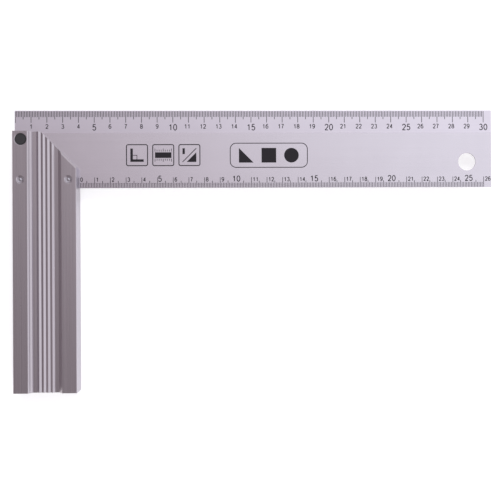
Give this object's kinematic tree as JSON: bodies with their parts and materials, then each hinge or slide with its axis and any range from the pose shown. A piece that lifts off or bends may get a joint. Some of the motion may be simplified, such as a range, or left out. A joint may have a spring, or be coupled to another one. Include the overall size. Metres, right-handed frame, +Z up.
{
  "type": "try square",
  "caption": "Carpenter's try square: a graduated steel blade riveted at a right angle into the slot of a ridged aluminium stock, with a hanging hole and a 45 degree corner on the stock.",
  "frame": {"origin": "inside corner of the square, where the blade's inner edge meets the stock's inner face, at half the blade's thickness", "axes": "+X along the blade towards its free end, +Y across the blade towards its outer edge, +Z up through the thickness, with the tool lying flat"},
  "size_m": [0.3055, 0.1788, 0.016],
  "materials": {
    "blade_steel": "satin, fine brushing along the blade, scales printed in dark grey",
    "stock_aluminium": "extruded and clear anodised, satin, with fine die lines along its length",
    "rivet_steel": "bright, spun",
    "black_plastic": "moulded, dull",
    "scale_ink": "dark grey print, a few hundredths of a millimetre thick"
  },
  "bodies": {
    "root": {"blade": "blade_steel", "stock": "stock_aluminium", "outer_rivet": "rivet_steel", "inner_rivet": "rivet_steel", "corner_plug": "black_plastic"}
  },
  "joints": []
}
